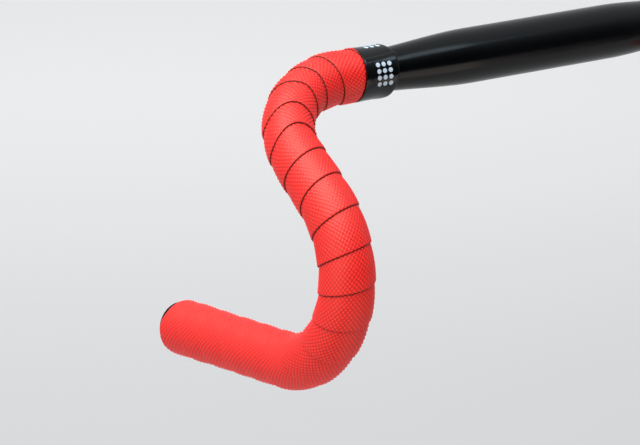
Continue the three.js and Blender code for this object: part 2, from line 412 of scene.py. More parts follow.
@dataclass
class Bar:
    """The tube's sizes and its centreline, the same as in the CAD model."""

    clamp_radius: float = 15.9 * MM
    grip_radius: float = 11.9 * MM
    wall: float = 2.0 * MM
    clamp_half_length: float = 47.5 * MM
    taper_length: float = 70 * MM
    top_length: float = 134.5 * MM
    shoulder_radius: float = 50 * MM
    shoulder_turn: float = math.radians(92.5)
    ramp_dip: float = math.radians(31)
    ramp_length: float = 28 * MM
    flare: float = math.radians(10)
    hook_radius: float = 60 * MM
    hook_turn: float = math.radians(29)
    drop_radius: float = 51 * MM
    drop_turn: float = math.radians(113)
    drop_length: float = 97 * MM
    length: float = field(default=0.0, init=False)
    stretches: list = field(default_factory=list, init=False)
    heads: list = field(default_factory=list, init=False)

    def __post_init__(self) -> None:
        """Lays out the straights and bends of the right half."""
        ramp_normal = np.array([0.0, math.sin(self.ramp_dip), math.cos(self.ramp_dip)])
        self.heads.append((np.zeros(3), np.array([1.0, 0.0, 0.0]), ramp_normal))
        self._lay(self.top_length, 0.0, ramp_normal)
        self._lay(self.shoulder_radius * self.shoulder_turn, 1 / self.shoulder_radius, ramp_normal)
        self._lay(self.ramp_length, 0.0, ramp_normal)
        ahead = self.heads[-1][1]
        inward = np.array([-1.0, 0.0, 0.0])
        level = inward - ahead * np.dot(inward, ahead)
        level /= np.linalg.norm(level)
        hook_axis = turned(level, ahead, np.array([-self.flare]))[0]
        self._lay(self.hook_radius * self.hook_turn, 1 / self.hook_radius, hook_axis)
        self._lay(self.drop_radius * self.drop_turn, 1 / self.drop_radius, hook_axis)
        self._lay(self.drop_length, 0.0, hook_axis)

    def _lay(self, length: float, curvature: float, axis: np.ndarray) -> None:
        """Adds a straight or a bend to the end.

        Args:
            length: its length along the centreline.
            curvature: one over its radius, or 0 for a straight.
            axis: the axis that it bends about.
        """
        self.stretches.append((self.length, length, curvature, axis))
        end = self._frames(len(self.stretches) - 1, np.array([length]))
        self.heads.append((end.points[0], end.tangents[0], end.sides[0]))
        self.length += length

    def _frames(self, number: int, within: np.ndarray) -> Station:
        """Frames at distances within one stretch.

        Args:
            number: which stretch.
            within: distances from the stretch's start.

        Returns:
            The frames.
        """
        _, length, curvature, axis = self.stretches[number]
        point, tangent, side = self.heads[number]
        angles = np.clip(within, 0, length) * curvature
        tangents = turned(tangent, axis, angles)
        sides = turned(side, axis, angles)
        to_centre = np.cross(axis, tangent)
        if curvature:
            points = point + (to_centre - turned(to_centre, axis, angles)) / curvature
        else:
            points = np.repeat(point[None], len(within), axis=0)
        beyond = within - (np.clip(within, 0, length) if curvature else 0)
        points = points + tangents * beyond[:, None]
        return Station(points, tangents, sides, turned(to_centre, axis, angles) * curvature)

    def at(self, distances: np.ndarray) -> Station:
        """Frames at distances from the middle of the bar along its right half.

        Args:
            distances: distances along the centreline.

        Returns:
            The frames; past the tube's end they run on straight.
        """
        starts = np.array([stretch[0] for stretch in self.stretches])
        numbers = np.clip(np.searchsorted(starts, distances, side="right") - 1, 0, len(starts) - 1)
        result = Station(*(np.zeros((len(distances), 3)) for _ in range(4)))
        for number in range(len(starts)):
            mask = numbers == number
            if mask.any():
                part = self._frames(number, distances[mask] - starts[number])
                for name in ("points", "tangents", "sides", "bends"):
                    getattr(result, name)[mask] = getattr(part, name)
        return result

    def radius(self, distances: np.ndarray) -> np.ndarray:
        """The tube's outer radius at distances from its middle.

        Args:
            distances: distances along the centreline.

        Returns:
            A radius for each distance.
        """
        taper_end = self.clamp_half_length + self.taper_length
        share = smooth_share(np.abs(distances), self.clamp_half_length, taper_end)
        return self.clamp_radius + (self.grip_radius - self.clamp_radius) * share

    @property
    def bore(self) -> float:
        """The tube's inner radius at its grips."""
        return self.grip_radius - self.wall


@dataclass(frozen=True)
class BarFinish:
    """Black satin on the tube, with fine turned rings on its clamp zone."""

    base: Colour = (0.0007, 0.0010, 0.0014)
    worn: Colour = (0.0012, 0.0015, 0.0020)
    cloud_scale: float = 38
    roughness: float = 0.19
    roughness_spread: float = 0.1
    refraction: float = 1.32
    rings_from: float = 42 * MM
    rings_to: float = 66 * MM
    ring_pitch: float = 0.55 * MM
    ring_height: float = 0.0016 * MM
    ring_wander: float = 5
    ring_share: float = 0.5
    scratch_share: float = 2.2
    scratch_scale: float = 900
    grain_scale: float = 5200
    grain_height: float = 0.0025 * MM

    def material(self) -> bpy.types.Material:
        """Makes the finish, whose rings fade out away from the middle.

        Returns:
            The material.
        """
        graph = ShaderGraph("bar_black_satin")
        place = graph.place()
        along = graph.attribute("along")
        cloud = graph.noise(place, self.cloud_scale, 3)
        fade = 1 - graph.smooth(graph.math("ABSOLUTE", along), self.rings_from, self.rings_to)
        wave = graph.math("SINE", along * (TURN / self.ring_pitch) + cloud * self.ring_wander)
        scratches = graph.noise(graph.join(along * self.scratch_scale, 0.0, 0.0), 1, 3)
        rings = (wave * self.ring_share + scratches * self.scratch_share) * fade * (self.ring_height / MM)
        grain = graph.noise(place, self.grain_scale) * (self.grain_height / MM)
        colour = graph.blend(cloud, self.base, self.worn)
        rough = self.roughness + (cloud - 0.5) * self.roughness_spread
        normal = graph.bump(rings + grain, MM)
        return graph.finish(Base_Color=colour, Roughness=rough, Normal=normal, IOR=self.refraction)


@dataclass(frozen=True)
class FoamFinish:
    """Red foam tape, with painted shade in the valleys of its embossing and beside its seams, and a painted
    sheen on the tops.
    """

    # The valley colour is painted shade: a deeper red where the embossing's valleys lie.
    valley: Colour = (0.40, 0.003, 0.004)
    face: Colour = (0.86, 0.013, 0.012)
    # The top colour is a painted sheen: a paler orange-red on the embossing's tops.
    top: Colour = (0.97, 0.042, 0.031)
    # The gap colour is painted shade: a dark red in and beside the seams between turns.
    gap: Colour = (0.10, 0.002, 0.002)
    sheen_tint: Colour = (1.0, 0.9, 0.74)
    face_relief: tuple = (-0.05, 0.4)
    top_relief: tuple = (0.45, 1.0)
    gap_shade: tuple = (0.25, 0.95)
    cloud_scale: float = 55
    cloud_relief: float = 0.35
    roughness: float = 0.47
    roughness_spread: float = 0.16
    gap_roughness: float = 0.25
    refraction: float = 1.52
    grain_scale: float = 3600
    grain_height: float = 0.014 * MM

    def material(self) -> bpy.types.Material:
        """Makes the finish, which reads the tape's relief and seam attributes.

        Returns:
            The material.
        """
        graph = ShaderGraph("bar_tape_red_foam")
        place = graph.place()
        relief = graph.attribute("relief")
        seam = graph.attribute("seam")
        cloud = graph.noise(place, self.cloud_scale, 3)
        # Painted shade: the embossing's valleys are darkened in the colour.
        colour = graph.blend(graph.smooth(relief, *self.face_relief), self.valley, self.face)
        # Painted sheen: the embossing's tops, wandering with the noise, take the paler top colour.
        painted_sheen_mask = relief + (cloud - 0.5) * self.cloud_relief
        colour = graph.blend(graph.smooth(painted_sheen_mask, *self.top_relief), colour, self.top)
        # Painted shade: the seam attribute darkens the tape in and beside each seam.
        colour = graph.blend(graph.smooth(seam, *self.gap_shade), colour, self.gap)
        grain = graph.noise(place, self.grain_scale, 3)
        rough = self.roughness + (grain - 0.5) * self.roughness_spread + seam * self.gap_roughness
        normal = graph.bump(grain * (self.grain_height / MM), MM)
        return graph.finish(Base_Color=colour, Roughness=rough, Normal=normal, IOR=self.refraction,
                            Specular_Tint=(*self.sheen_tint, 1.0))


@dataclass(frozen=True)
class VinylFinish:
    """Glossy black finishing tape, printed with a plain grid of dots at regular places round it."""

    base: Colour = (0.0022, 0.0026, 0.0032)
    ink: Colour = (0.46, 0.56, 0.66)
    cloud_scale: float = 160
    roughness: float = 0.12
    ink_roughness: float = 0.38
    roughness_spread: float = 0.08
    refraction: float = 1.38
    ripple_height: float = 0.12 * MM
    ripple_strength: float = 0.6
    motif_turn: float = math.radians(130)
    motif_centre: float = math.radians(-48)
    motif_middle: float = 112 * MM
    dot_columns: int = 3
    dot_rows: int = 4
    dot_pitch: float = 3.7 * MM
    dot_radius: float = 1.3 * MM
    sleeve_radius: float = 15 * MM
    ink_edge: float = 0.15 * MM

    def material(self) -> bpy.types.Material:
        """Makes the finish, which reads the sleeve's angle and distance.

        Returns:
            The material.
        """
        graph = ShaderGraph("finishing_tape_black_vinyl")
        place = graph.place()
        turns = (graph.attribute("angle") - self.motif_centre) / self.motif_turn + 0.5
        round_it = (graph.math("FRACT", turns) - 0.5) * (self.motif_turn * self.sleeve_radius)
        along_it = graph.attribute("along") - self.motif_middle
        from_dot = []
        inside = 1.0
        for offset, count in ((along_it, self.dot_columns), (round_it, self.dot_rows)):
            cells = offset / self.dot_pitch + count / 2
            from_dot.append((graph.math("FRACT", cells) - 0.5) * self.dot_pitch)
            inside = graph.least(inside, graph.least(cells > 0.0, cells < float(count)))
        from_centre = graph.math("SQRT", from_dot[0] * from_dot[0] + from_dot[1] * from_dot[1])
        ink = graph.smooth(self.dot_radius - from_centre, -self.ink_edge, self.ink_edge) * inside
        cloud = graph.noise(place, self.cloud_scale, 3)
        colour = graph.blend(ink, self.base, self.ink)
        rough = graph.choose(ink, self.roughness, self.ink_roughness) + (cloud - 0.5) * self.roughness_spread
        normal = graph.bump(cloud, self.ripple_height, self.ripple_strength)
        return graph.finish(Base_Color=colour, Roughness=rough, Normal=normal, IOR=self.refraction)


@dataclass(frozen=True)
class PlugFinish:
    """Black moulded plastic with a fine spark-eroded grain."""

    base: Colour = (0.0015, 0.0015, 0.002)
    bright: Colour = (0.003, 0.003, 0.004)
    cloud_scale: float = 120
    roughness: float = 0.7
    roughness_spread: float = 0.2
    refraction: float = 1.3
    specular: float = 0.15
    grain_scale: float = 2600
    grain_height: float = 0.02 * MM

    def material(self) -> bpy.types.Material:
        """Makes the finish.

        Returns:
            The material.
        """
        graph = ShaderGraph("end_plug_moulded")
        place = graph.place()
        grain = graph.noise(place, self.grain_scale)
        colour = graph.blend(graph.noise(place, self.cloud_scale), self.base, self.bright)
        rough = self.roughness + (grain - 0.5) * self.roughness_spread
        normal = graph.bump(grain * (self.grain_height / MM), MM)
        return graph.finish(Base_Color=colour, Roughness=rough, Normal=normal, IOR=self.refraction,
                            Specular_IOR_Level=self.specular)


def mirror_piece(piece: bpy.types.Object, name: str) -> bpy.types.Object:
    """Copies a piece to the other half of the bar.

    Args:
        piece: the right half's piece.
        name: the copy's name.

    Returns:
        The copy, with its faces still looking outwards.
    """
    mesh = piece.data.copy()
    mesh.transform(Matrix.Diagonal((-1, 1, 1, 1)))
    mesh.flip_normals()
    copy = bpy.data.objects.new(name, mesh)
    mesh.name = name
    bpy.context.scene.collection.objects.link(copy)
    return copy


def settle(piece: bpy.types.Object, node: str) -> None:
    """Puts a piece on the one body, in place of its CAD node.

    Args:
        piece: the finished piece.
        node: the CAD node that it stands for.
    """
    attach(piece, "root")
    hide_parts(node)
    piece.data.calc_loop_triangles()
    LOG.info("%s: %d triangles", piece.name, len(piece.data.loop_triangles))


@dataclass
class Tube:
    """The bent tube, hollow from end to end."""

    bar: Bar
    sides: int = 96
    bend_step: float = math.radians(2.5)
    clamp_steps: int = 4
    taper_steps: int = 24
    decimals: int = 7
    end_round: float = 0.3 * MM
    finish: BarFinish = BarFinish()

    def stations(self) -> np.ndarray:
        """Distances along the right half that follow its taper and bends.

        Returns:
            The distances, from the middle to the tube's end.
        """
        places = [np.linspace(0, self.bar.clamp_half_length, self.clamp_steps)]
        places.append(self.bar.clamp_half_length + np.linspace(0, self.bar.taper_length, self.taper_steps))
        for start, length, curvature, _ in self.bar.stretches[1:]:
            steps = max(2, math.ceil(length * curvature / self.bend_step))
            places.append(np.linspace(start, start + length, steps + 1))
        return np.unique(np.concatenate(places).round(self.decimals))

    def build(self) -> bpy.types.Object:
        """Makes the tube as one closed skin, outside and bore.

        Returns:
            The piece, on its body.
        """
        right = self.stations()
        ends = np.array([right[-1]])
        outer = np.concatenate([right[:-1], ends - self.end_round, ends])
        radii = self.bar.radius(outer)
        radii[-1] -= self.end_round
        bore = right[::-2]
        distances = np.concatenate([outer, bore])
        radii = np.concatenate([radii, self.bar.radius(bore) - self.bar.wall])
        angles = np.linspace(0, TURN, self.sides, endpoint=False)
        rings = self.bar.at(distances).around(np.repeat(radii[:, None], self.sides, axis=1), angles)
        count = len(outer)
        left_outer = (rings[1:count] * [-1, 1, 1])[::-1]
        left_bore = (rings[count:] * [-1, 1, 1])[::-1]
        if bore[-1] == 0:
            left_bore = left_bore[1:]
        whole = np.concatenate([left_outer, rings, left_bore])
        along = np.concatenate([-outer[1:][::-1], distances, -bore[::-1][len(bore) - len(left_bore):]])
        faces = closed_grid(len(whole), self.sides, True, True)
        piece = new_piece("handlebar_tube", whole.reshape(-1, 3), faces, self.finish.material())
        keep_numbers(piece, "along", np.repeat(along, self.sides))
        settle(piece, "handlebar")
        return piece


@dataclass
class FinishingTape:
    """A strip of glossy tape wound round the top, which ends in a lap on the bar's upper side."""

    bar: Bar
    bar_edge: float = 107.0 * MM
    bar_edge_swing: float = 4.0 * MM
    bar_edge_turn: float = math.radians(-20)
    red_edge: float = 124.4 * MM
    red_edge_swing: float = 1.4 * MM
    red_edge_turn: float = math.radians(30)
    cut_end_thickness: float = 1.75 * MM
    squeezed_thickness: float = 2.3 * MM
    squeezed_from: float = 104.5 * MM
    squeezed_to: float = 123.0 * MM
    gap: float = 0.15 * MM
    thickness: float = 0.8 * MM
    layer: float = 0.45 * MM
    lap_turn: float = math.radians(-4)
    lap_lean: float = math.radians(6)
    loose: float = 0.55 * MM
    loose_turn: float = math.radians(-135)
    loose_reach: float = 5 * MM
    pucker_height: float = 0.12 * MM
    pucker_reach: float = 2.5 * MM
    pucker_turn: float = 1.3
    puckers: int = 7
    edge_round: float = 0.12 * MM
    edge_reach: float = 0.35 * MM
    lip_width: float = 1.1 * MM
    lip_drop: float = 0.1 * MM
    stagger: float = 0.9 * MM
    stagger_power: int = 4
    columns: int = 180
    rows: int = 29
    rows_per_inner_row: int = 7
    finish: VinylFinish = VinylFinish()

    def bar_side(self, angles: np.ndarray) -> np.ndarray:
        """Distance of the edge next to the bare bar at each angle."""
        return self.bar_edge - self.bar_edge_swing * np.cos(angles - self.bar_edge_turn)

    def red_side(self, angles: np.ndarray) -> np.ndarray:
        """Distance of the edge next to the bar tape at each angle."""
        return self.red_edge - self.red_edge_swing * np.cos(angles - self.red_edge_turn)

    def squeezed(self, distances: np.ndarray) -> np.ndarray:
        """Radius of the bar tape that is squeezed under this one.

        Args:
            distances: distances along the bar.

        Returns:
            A radius for each distance.
        """
        share = (distances - self.squeezed_from) / (self.squeezed_to - self.squeezed_from)
        spread = self.squeezed_thickness - self.cut_end_thickness
        return self.bar.radius(distances) + self.cut_end_thickness + spread * share

    def outside(self, distances: np.ndarray, angles: np.ndarray, wound: np.ndarray) -> np.ndarray:
        """Radius of the outer face, with its loose edge, its puckers and its rounded edges.

        Args:
            distances: distances along the bar, with a row for each point of the section.
            angles: angles round the bar.
            wound: how far round the strip has gone from its lap, from 0 to 1.

        Returns:
            A radius for each distance.
        """
        from_bar_side = distances - distances[0]
        hanging = 0.5 - 0.5 * np.cos(angles - self.loose_turn + math.pi)
        lift = self.loose * hanging * fading(from_bar_side, self.loose_reach)
        wave = np.sin(angles * self.puckers + self.pucker_turn)
        pucker = self.pucker_height * wave * fading(from_bar_side, self.pucker_reach)
        flat = self.squeezed(distances) + self.gap + self.thickness + self.layer * (1 - wound)
        near_bar_edge = fading(from_bar_side, self.edge_reach)
        near_red_edge = fading(distances[-1] - distances, self.edge_reach)
        return flat + lift + pucker - self.edge_round * (near_bar_edge + near_red_edge)

    def profile(self, angles: np.ndarray, wound: np.ndarray) -> tuple[np.ndarray, np.ndarray]:
        """Distances and radii of one closed section for each angle.

        Args:
            angles: angles round the bar.
            wound: how far round the strip has gone from its lap, from 0 to 1.

        Returns:
            Distances and radii, with a row for each point of the section and a column for each angle.
        """
        start = self.bar_side(angles) - self.stagger * (1 - wound)**self.stagger_power
        end = self.red_side(angles)
        shares = (0.5 - 0.5 * np.cos(np.linspace(0, math.pi, self.rows)))[:, None]
        distances = start + (end - start) * shares
        outer = self.outside(distances, angles, wound)
        lip = self.bar.radius(start) + self.gap
        under = np.where(distances < start + self.lip_width, lip, self.squeezed(distances) + self.gap)
        inner = slice(None, None, -self.rows_per_inner_row)
        edge = 2 * self.edge_round
        places = np.concatenate([distances[1:], [end], distances[inner], [start, start + self.edge_round]])
        radii = np.concatenate([outer[1:], [outer[-1] - edge], under[inner],
                                [outer[0] - edge, outer[0] - self.lip_drop]])
        return places, radii

    def build(self) -> bpy.types.Object:
        """Makes the right half's sleeve.

        Returns:
            The piece.
        """
        wound = np.linspace(0, 1, self.columns)
        angles = self.lap_turn - wound * TURN
        places, radii = self.profile(angles, wound)
        reach = (places - self.bar_edge) / (self.red_edge - self.bar_edge)
        turns = angles[None, :] - self.lap_lean * reach
        points = np.zeros((*places.shape, 3))
        for row in range(len(places)):
            station = self.bar.at(places[row])
            outwards = (station.sides * np.cos(turns[row])[:, None]
                        + station.across * np.sin(turns[row])[:, None])
            points[row] = station.points + outwards * radii[row][:, None]
        grid = points.transpose(1, 0, 2)
        faces = closed_grid(self.columns, len(places), True, True)
        piece = new_piece("right_finishing_tape_sleeve", grid.reshape(-1, 3), faces, self.finish.material())
        keep_numbers(piece, "angle", turns.T.ravel())
        keep_numbers(piece, "along", places.T.ravel())
        return piece


@dataclass
class EndPlug:
    """A round plug with a shallow dish in its face and a ribbed stem in the tube's bore."""

    bar: Bar
    tuck: float = 0.9 * MM
    clearance: float = 0.3 * MM
    flange_radius: float = 14 * MM
    flange_thickness: float = 3 * MM
    flange_round: float = 1 * MM
    flange_chamfer: float = 0.3 * MM
    dish_radius: float = 8.6 * MM
    dish_depth: float = 0.5 * MM
    dish_slope: float = 0.12
    dish_middle: float = 0.8
    stem_length: float = 22 * MM
    stem_radius: float = 8.4 * MM
    ribs: int = 3
    rib_height: float = 1.2 * MM
    rib_corners: tuple = ((0.0, False), (0.9, True), (1.1, True), (2.0, False))
    round_steps: int = 9
    dish_steps: int = 7
    sides: int = 96
    finish: PlugFinish = PlugFinish()

    def profile(self) -> np.ndarray:
        """Radius and place of each point from the stem's foot to the middle of the face.

        Returns:
            A row for each point: its radius, and its place along the bar from the tube's end.
        """
        rib_radius = self.bar.bore - self.clearance
        pitch = self.stem_length / (self.ribs + 1)
        points = [(0.0, -self.stem_length), (self.stem_radius - self.rib_height, -self.stem_length)]
        for rib in range(self.ribs):
            foot = -self.stem_length + pitch * (rib + 0.5)
            for heights, on_crest in self.rib_corners:
                radius = rib_radius if on_crest else self.stem_radius
                points.append((radius, foot + heights * self.rib_height))
        seat = self.tuck + self.clearance
        face = seat + self.flange_thickness
        points.append((self.stem_radius, seat))
        points.append((self.flange_radius - self.flange_chamfer, seat))
        points.append((self.flange_radius, seat + self.flange_chamfer))
        for angle in np.linspace(0, math.pi / 2, self.round_steps):
            points.append((self.flange_radius - self.flange_round * (1 - math.cos(angle)),
                           face - self.flange_round * (1 - math.sin(angle))))
        for share in np.linspace(0, 1, self.dish_steps):
            points.append((self.dish_radius * (1 - share * self.dish_slope),
                           face - self.dish_depth * share**2 * (3 - 2 * share)))
        points.append((0.0, face - self.dish_depth * self.dish_middle))
        return np.array(points)

    def build(self) -> bpy.types.Object:
        """Makes the right half's plug.

        Returns:
            The piece.
        """
        profile = self.profile()
        end = self.bar.at(np.array([self.bar.length]))
        tangents, sides, bends = (np.repeat(vector, len(profile), axis=0)
                                  for vector in (end.tangents, end.sides, end.bends))
        station = Station(end.points + tangents * profile[:, 1:], tangents, sides, bends)
        angles = np.linspace(0, TURN, self.sides, endpoint=False)
        rings = station.around(np.repeat(profile[:, :1], self.sides, axis=1), angles)
        inner = rings[1:-1]
        points = np.concatenate([inner.reshape(-1, 3), rings[0, :1], rings[-1, :1]])
        faces = closed_grid(len(inner), self.sides, True)
        foot = len(points) - 2
        crown = len(points) - 1
        last = (len(inner) - 1) * self.sides
        for step in range(self.sides):
            following = (step + 1) % self.sides
            faces.append((foot, following, step))
            faces.append((crown, last + step, last + following))
        return new_piece("right_end_plug_moulding", points, faces, self.finish.material())


@dataclass
class BarTape:
    """One strip of embossed foam tape wound round half the bar, each turn over the one below.

    The seam places are where the strip's edge crosses the bar's upper side, turn by turn, in millimetres
    along the bar. Each pair of distances gives where a rise or a fade starts and ends.
    """

    bar: Bar
    sleeve: FinishingTape
    thickness: float = 2.6 * MM
    lap_rise: float = 0.9 * MM
    lap_power: float = 2.3
    seam_places: tuple = (82.5, 102.7, 122.9, 143.0, 155.7, 168.3, 184.5, 200.2, 220.7, 239.4, 258.4, 276.9,
                          294.5, 312.0, 329.9, 350.0, 371.0, 391.5, 408.8, 429.8, 448.5, 469.5, 489.5, 509.5)
    shoulder_pull: float = 0.7 * MM
    pull_from: float = 7 * MM
    pull_lengths: int = 3
    ahead_bow: float = 8.5 * MM
    ahead_bow_rise: tuple = (6 * MM, 30 * MM)
    outside_bow: float = 7 * MM
    outside_bow_rise: tuple = (30 * MM, 52 * MM)
    bow_fade: tuple = (54 * MM, 92 * MM)
    drop_build_up: float = 0.3 * MM
    tuck_build_up: float = 0.35 * MM
    build_up_length: float = 20 * MM
    tuck: float = 0.9 * MM
    end_radius: float = 12.8 * MM
    end_round: float = 3.2 * MM
    end_round_length: float = 3.4 * MM
    end_bulge: float = 1.0 * MM
    end_bulge_turn: float = math.radians(5)
    end_bulge_side: tuple = (-0.55, 0.1)
    end_bulge_lift: float = 0.7
    gap: float = 0.3 * MM
    cut_back: float = 1.3 * MM
    columns_per_turn: int = 158
    cell_steps: int = 4
    row_step: float = 0.725 * MM
    rows: int = 38
    inner_rows: int = 32
    edge_round: float = 0.4 * MM
    slot_half: float = 0.18 * MM
    slot_depth: float = 0.8 * MM
    # Width of the painted shade beside each seam.
    seam_shade: float = 0.62 * MM
    emboss_height: float = 0.5 * MM
    swell_length: float = 2.2 * MM
    swell_height: float = 3.2 * MM
    hidden_margin: float = 2 * MM
    guide_step: float = 0.5 * MM
    guide_past_end: float = 6 * MM
    bend_window: float = 16 * MM
    finish: FoamFinish = FoamFinish()

    @property
    def end(self) -> float:
        """Distance along the bar of the tape's folded end, just past the tube's end."""
        return self.bar.length + self.tuck

    def seams(self) -> np.ndarray:
        """Distance of the seam for each step of the winding, bowed ahead of and outside the shoulder.

        Returns:
            A distance along the bar for each step.
        """
        places = np.array(self.seam_places) * MM
        slopes = np.gradient(places)
        turns = np.arange((len(places) - 1) * self.columns_per_turn) / self.columns_per_turn
        number = turns.astype(int)
        share = turns - number
        gaps = np.diff(places)[number]
        before, after = slopes[number], slopes[number + 1]
        distances = (places[number] + share * before + share**2 * (3 * gaps - 2 * before - after)
                     + share**3 * (before + after - 2 * gaps))
        past = distances - self.bar.top_length
        left = 1 - smooth_share(past, *self.bow_fade)
        ahead = smooth_share(past, *self.ahead_bow_rise) * np.clip(-np.sin(turns * TURN), 0, 1)**2
        outside = smooth_share(past, *self.outside_bow_rise) * np.clip(np.sin(turns * TURN), 0, 1)**2
        return distances + left * (self.ahead_bow * ahead + self.outside_bow * outside)

    def build_up(self, distances: np.ndarray, start: float) -> np.ndarray:
        """Rises from 0 to 1 over one build-up length from a distance."""
        return smooth_share(distances, start, start + self.build_up_length)

    def guide(self) -> bpy.types.Object:
        """Makes the line that the winding follows, with its frame, the tube's radius and the tape's foot.

        Returns:
            The line, which is removed once the tape is wound.
        """
        distances = np.arange(0, self.end + self.guide_past_end, self.guide_step)
        station = self.bar.at(distances)
        window = round(self.bend_window / self.guide_step)
        even = np.ones(window) / window
        bends = np.stack([np.convolve(station.bends[:, axis], even, "same") for axis in range(3)], axis=1)
        length = self.build_up_length
        drop = self.build_up(distances, self.bar.length - self.bar.drop_length - 2 * length)
        tucked = self.build_up(distances, self.bar.length - 2 * length)
        shoulder = self.bar.top_length + self.pull_from
        pulled = (self.build_up(distances, shoulder)
                  * (1 - self.build_up(distances, shoulder + self.pull_lengths * length)))
        tube = self.bar.radius(distances)
        foot = (tube + self.thickness + self.drop_build_up * drop + self.tuck_build_up * tucked
                - self.shoulder_pull * pulled)
        guide = bpy.data.objects.new("tape_guide", bpy.data.meshes.new("tape_guide"))
        edges = [(number, number + 1) for number in range(len(distances) - 1)]
        guide.data.from_pydata(station.points.tolist(), edges, [])
        keep_numbers(guide, "side", station.sides)
        keep_numbers(guide, "bend", bends)
        keep_numbers(guide, "levels", np.stack([tube, foot, np.zeros_like(tube)], axis=1))
        bpy.context.scene.collection.objects.link(guide)
        return guide

    def winding(self, seams: np.ndarray) -> bpy.types.Object:
        """Makes a row of points whose X is the seam's distance at each step of the winding.

        Args:
            seams: the seam's distance for each step.

        Returns:
            The points, which are removed once the tape is wound.
        """
        mesh = bpy.data.meshes.new("tape_seams")
        mesh.from_pydata([(distance, 0.0, 0.0) for distance in seams], [], [])
        made = bpy.data.objects.new("tape_seams", mesh)
        bpy.context.scene.collection.objects.link(made)
        return made

    def build(self, side: Side, material: bpy.types.Material) -> bpy.types.Object:
        """Winds the tape on one half.

        Args:
            side: which half.
            material: its finish.

        Returns:
            The piece as a plain mesh.
        """
        seams = self.seams()
        guide = self.guide()
        winding = self.winding(seams)
        tree = WindingTree(self)
        values = {"Seams": winding, "Columns": len(seams) - self.columns_per_turn,
                  "Turn Columns": self.columns_per_turn, "Rows": self.rows, "Row Step": self.row_step,
                  "Emboss Height": self.emboss_height, "Lap Rise": self.lap_rise,
                  "Slot Depth": self.slot_depth, "Slot Half": self.slot_half,
                  "Edge Round": self.edge_round, "Side": float(side.value), "Flip": side is Side.RIGHT,
                  "Finish": material}
        modifier = guide.modifiers.new("winding", "NODES")
        modifier.node_group = tree.tree
        for name, value in values.items():
            modifier[tree.names[name]] = value
        bpy.context.view_layer.update()
        graph = bpy.context.evaluated_depsgraph_get()
        mesh = bpy.data.meshes.new_from_object(guide.evaluated_get(graph))
        guide.modifiers.remove(modifier)
        bpy.data.objects.remove(guide)
        bpy.data.objects.remove(winding)
        mesh.name = f"{side.word}_bar_tape_wound"
        piece = bpy.data.objects.new(mesh.name, mesh)
        bpy.context.scene.collection.objects.link(piece)
        return piece


class Row(IntEnum):
    """The first rows of a turn, from the slot under its proud edge to its upper face."""

    FOOT = 0
    EDGE = 1
    ARC = 2


